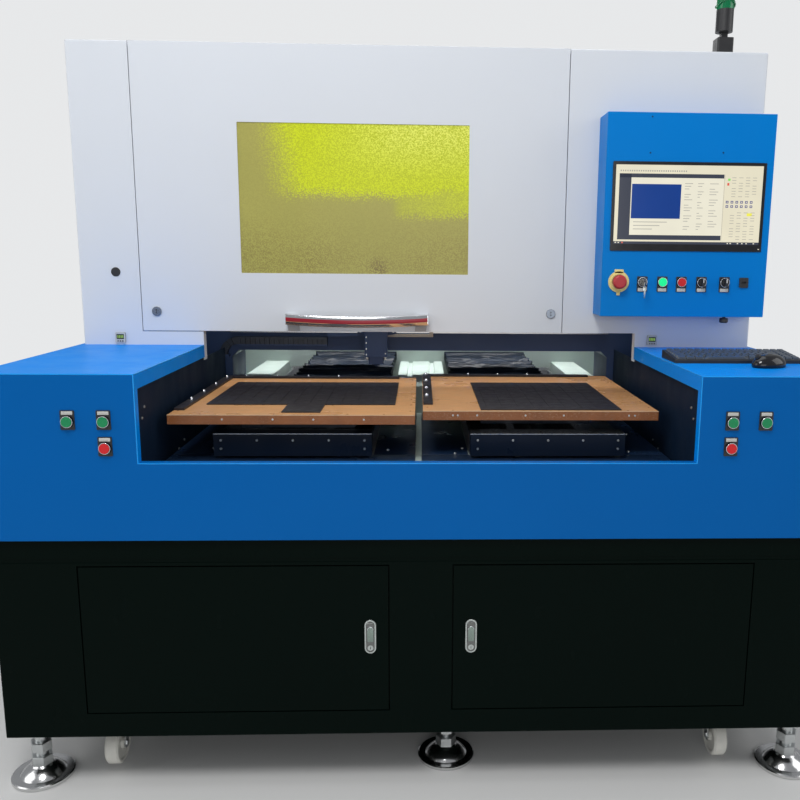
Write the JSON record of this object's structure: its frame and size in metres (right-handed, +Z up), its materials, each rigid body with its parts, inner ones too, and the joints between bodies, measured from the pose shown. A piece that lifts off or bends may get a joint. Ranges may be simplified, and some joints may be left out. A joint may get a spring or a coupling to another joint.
{
  "type": "laser glass cutting machine",
  "caption": "Gantry laser glass cutter with sliding tables in an open bay, lift-up front door, operator console and a cabinet base on levelling feet.",
  "frame": {"origin": "on the floor under the middle of the machine's outline", "axes": "+Z up, +X to the operator's right as seen from the front, -Y out of the front"},
  "size_m": [2.082, 1.611, 2.176],
  "materials": {
    "base_black": "gloss black sheet paint",
    "housing_blue": "satin blue sheet paint",
    "shell_white": "fine textured white sheet paint",
    "gantry_dark": "satin dark blue-black paint",
    "bed_grey_green": "pale grey-green machine paint",
    "rail_steel": "ground steel",
    "zinc_steel": "bright zinc",
    "foot_chrome": "chromed pressed steel",
    "handle_chrome": "polished chrome",
    "lock_steel": "satin plated",
    "window_film": "yellow-green laser filter pane",
    "monitor_black": "gloss black",
    "device_black": "moulded black",
    "device_metal": "plated bezels",
    "button_green": "moulded green",
    "button_red": "moulded red",
    "key_steel": "nickel plated",
    "table_board": "orange-brown laminate board",
    "fixture_black": "matt black plate",
    "bellows_fabric": "coated black cloth",
    "chain_plastic": "moulded links",
    "source_aluminium": "anodised",
    "panel_devices": "mounting plate with devices",
    "lens_green": "ribbed lenses",
    "tower_black": "moulded black",
    "wheel_nylon": "moulded pale nylon",
    "keyboard_black": "moulded black",
    "mouse_black": "gloss black"
  },
  "bodies": {
    "machine": {"base_cabinet": "base_black", "housing": "housing_blue", "upper_shell": "shell_white", "pressure_gauges": "device_black", "console_box": "housing_blue", "monitor": "monitor_black", "console_fittings": "device_metal", "button_holders": "device_black", "foot_discs": "foot_chrome", "foot_screws": "zinc_steel", "caster_plates": "zinc_steel", "bed": "bed_grey_green", "gantry_beam": "gantry_dark", "table_stages": "source_aluminium", "stage_covers": "gantry_dark", "tower_base": "tower_black", "cable_chain": "chain_plastic", "keyboard": "keyboard_black", "mouse": "mouse_black", "bellows_left": "bellows_fabric", "bellows_right": "bellows_fabric", "laser_source": "source_aluminium", "electrical_panel": "panel_devices"},
    "front_door": {"front_door": "shell_white", "door_window": "window_film", "door_handle": "handle_chrome"},
    "cam_lock_left": {"cam_lock_left": "lock_steel"},
    "cam_lock_right": {"cam_lock_right": "lock_steel"},
    "cabinet_door_left": {"cabinet_door_left": "base_black", "lock_housing_left": "lock_steel"},
    "cabinet_door_right": {"cabinet_door_right": "base_black", "lock_housing_right": "lock_steel"},
    "lock_paddle_left": {"lock_paddle_left": "lock_steel"},
    "lock_paddle_right": {"lock_paddle_right": "lock_steel"},
    "emergency_stop": {"emergency_stop_button": "button_red"},
    "switch_key": {"switch_key": "key_steel"},
    "console_green": {"console_green_button": "button_green"},
    "console_red": {"console_red_button": "button_red"},
    "selector_left": {"selector_left": "device_black"},
    "selector_right": {"selector_right": "device_black"},
    "left_outer_start": {"left_outer_start_button": "button_green"},
    "left_inner_start": {"left_inner_start_button": "button_green"},
    "left_stop": {"left_stop_button": "button_red"},
    "right_inner_start": {"right_inner_start_button": "button_green"},
    "right_outer_start": {"right_outer_start_button": "button_green"},
    "right_stop": {"right_stop_button": "button_red"},
    "x_carriage": {"x_carriage": "gantry_dark"},
    "laser_head": {"laser_head": "gantry_dark"},
    "table_left": {"table_left": "table_board", "fixture_left": "fixture_black"},
    "table_right": {"table_right": "table_board", "fixture_right": "fixture_black"},
    "signal_tower": {"tower_body": "tower_black", "tower_lenses": "lens_green"},
    "caster_fork_left": {"caster_fork_left": "zinc_steel"},
    "caster_fork_right": {"caster_fork_right": "zinc_steel"},
    "caster_wheel_front_left": {"caster_wheel_front_left": "wheel_nylon"},
    "caster_wheel_front_right": {"caster_wheel_front_right": "wheel_nylon"},
    "caster_wheel_rear_left": {"caster_wheel_rear_left": "wheel_nylon"},
    "caster_wheel_rear_right": {"caster_wheel_rear_right": "wheel_nylon"}
  },
  "joints": [
    {"name": "front_door_hinge", "type": "hinge", "parent": "machine", "child": "front_door", "pos_m": [-0.202, -0.1685, 1.903], "axis": [-1, 0, 0], "range_deg": [0, 80]},
    {"name": "cam_lock_left_turn", "type": "hinge", "parent": "front_door", "child": "cam_lock_left", "pos_m": [-0.788, -0.1765, 1.15], "axis": [0, -1, 0], "range_deg": [0, 90]},
    {"name": "cam_lock_right_turn", "type": "hinge", "parent": "front_door", "child": "cam_lock_right", "pos_m": [0.392, -0.1765, 1.15], "axis": [0, 1, 0], "range_deg": [0, 90]},
    {"name": "cabinet_door_left_hinge", "type": "hinge", "parent": "machine", "child": "cabinet_door_left", "pos_m": [-0.807, -0.7775, 0.3975], "axis": [0, 0, -1], "range_deg": [0, 105]},
    {"name": "cabinet_door_right_hinge", "type": "hinge", "parent": "machine", "child": "cabinet_door_right", "pos_m": [0.807, -0.7775, 0.3975], "axis": [0, 0, 1], "range_deg": [0, 105]},
    {"name": "lock_paddle_left_pop", "type": "hinge", "parent": "cabinet_door_left", "child": "lock_paddle_left", "pos_m": [-0.123, -0.7845, 0.4375], "axis": [-1, 0, 0], "range_deg": [0, 35]},
    {"name": "lock_paddle_right_pop", "type": "hinge", "parent": "cabinet_door_right", "child": "lock_paddle_right", "pos_m": [0.123, -0.7845, 0.4375], "axis": [-1, 0, 0], "range_deg": [0, 35]},
    {"name": "emergency_stop_press", "type": "slide", "parent": "machine", "child": "emergency_stop", "axis": [0, 1, 0], "range_m": [0, 0.005]},
    {"name": "switch_key_turn", "type": "hinge", "parent": "machine", "child": "switch_key", "pos_m": [0.64, -0.2781, 1.251], "axis": [0, 1, 0], "range_deg": [0, 90]},
    {"name": "console_green_press", "type": "slide", "parent": "machine", "child": "console_green", "axis": [0, 1, 0], "range_m": [0, 0.004], "stiffness_N_per_m": 300, "springref_m": -0.003},
    {"name": "console_red_press", "type": "slide", "parent": "machine", "child": "console_red", "axis": [0, 1, 0], "range_m": [0, 0.004], "stiffness_N_per_m": 300, "springref_m": -0.003},
    {"name": "selector_left_turn", "type": "hinge", "parent": "machine", "child": "selector_left", "pos_m": [0.814, -0.2781, 1.251], "axis": [0, 1, 0], "range_deg": [-45, 45]},
    {"name": "selector_right_turn", "type": "hinge", "parent": "machine", "child": "selector_right", "pos_m": [0.882, -0.2781, 1.251], "axis": [0, 1, 0], "range_deg": [-45, 45]},
    {"name": "left_outer_start_press", "type": "slide", "parent": "machine", "child": "left_outer_start", "axis": [0, 1, 0], "range_m": [0, 0.004], "stiffness_N_per_m": 300, "springref_m": -0.003},
    {"name": "left_inner_start_press", "type": "slide", "parent": "machine", "child": "left_inner_start", "axis": [0, 1, 0], "range_m": [0, 0.004], "stiffness_N_per_m": 300, "springref_m": -0.003},
    {"name": "left_stop_press", "type": "slide", "parent": "machine", "child": "left_stop", "axis": [0, 1, 0], "range_m": [0, 0.004], "stiffness_N_per_m": 300, "springref_m": -0.003},
    {"name": "right_inner_start_press", "type": "slide", "parent": "machine", "child": "right_inner_start", "axis": [0, 1, 0], "range_m": [0, 0.004], "stiffness_N_per_m": 300, "springref_m": -0.003},
    {"name": "right_outer_start_press", "type": "slide", "parent": "machine", "child": "right_outer_start", "axis": [0, 1, 0], "range_m": [0, 0.004], "stiffness_N_per_m": 300, "springref_m": -0.003},
    {"name": "right_stop_press", "type": "slide", "parent": "machine", "child": "right_stop", "axis": [0, 1, 0], "range_m": [0, 0.004], "stiffness_N_per_m": 300, "springref_m": -0.003},
    {"name": "gantry_x", "type": "slide", "parent": "machine", "child": "x_carriage", "axis": [1, 0, 0], "range_m": [-0.42, 0.69]},
    {"name": "focus_z", "type": "slide", "parent": "x_carriage", "child": "laser_head", "axis": [0, 0, 1], "range_m": [-0.01, 0.01]},
    {"name": "table_left_y", "type": "slide", "parent": "machine", "child": "table_left", "axis": [0, 1, 0], "range_m": [0, 0.43], "deforming": ["bellows_left"]},
    {"name": "table_right_y", "type": "slide", "parent": "machine", "child": "table_right", "axis": [0, 1, 0], "range_m": [0, 0.43], "deforming": ["bellows_right"]},
    {"name": "signal_tower_fold", "type": "hinge", "parent": "machine", "child": "signal_tower", "pos_m": [0.892, -0.1145, 1.949], "axis": [-1, 0, 0], "range_deg": [0, 90]},
    {"name": "caster_swivel_left", "type": "hinge", "parent": "machine", "child": "caster_fork_left", "pos_m": [-0.785, -0.6545, 0.126], "axis": [0, 0, 1], "continuous": true},
    {"name": "caster_swivel_right", "type": "hinge", "parent": "machine", "child": "caster_fork_right", "pos_m": [0.785, -0.6545, 0.126], "axis": [0, 0, 1], "continuous": true},
    {"name": "caster_wheel_front_left_spin", "type": "hinge", "parent": "caster_fork_left", "child": "caster_wheel_front_left", "pos_m": [-0.785, -0.6865, 0.068], "axis": [1, 0, 0], "continuous": true},
    {"name": "caster_wheel_front_right_spin", "type": "hinge", "parent": "caster_fork_right", "child": "caster_wheel_front_right", "pos_m": [0.785, -0.6865, 0.068], "axis": [1, 0, 0], "continuous": true},
    {"name": "caster_wheel_rear_left_spin", "type": "hinge", "parent": "machine", "child": "caster_wheel_rear_left", "pos_m": [-0.785, 0.6475, 0.068], "axis": [1, 0, 0], "continuous": true},
    {"name": "caster_wheel_rear_right_spin", "type": "hinge", "parent": "machine", "child": "caster_wheel_rear_right", "pos_m": [0.785, 0.6475, 0.068], "axis": [1, 0, 0], "continuous": true}
  ]
}
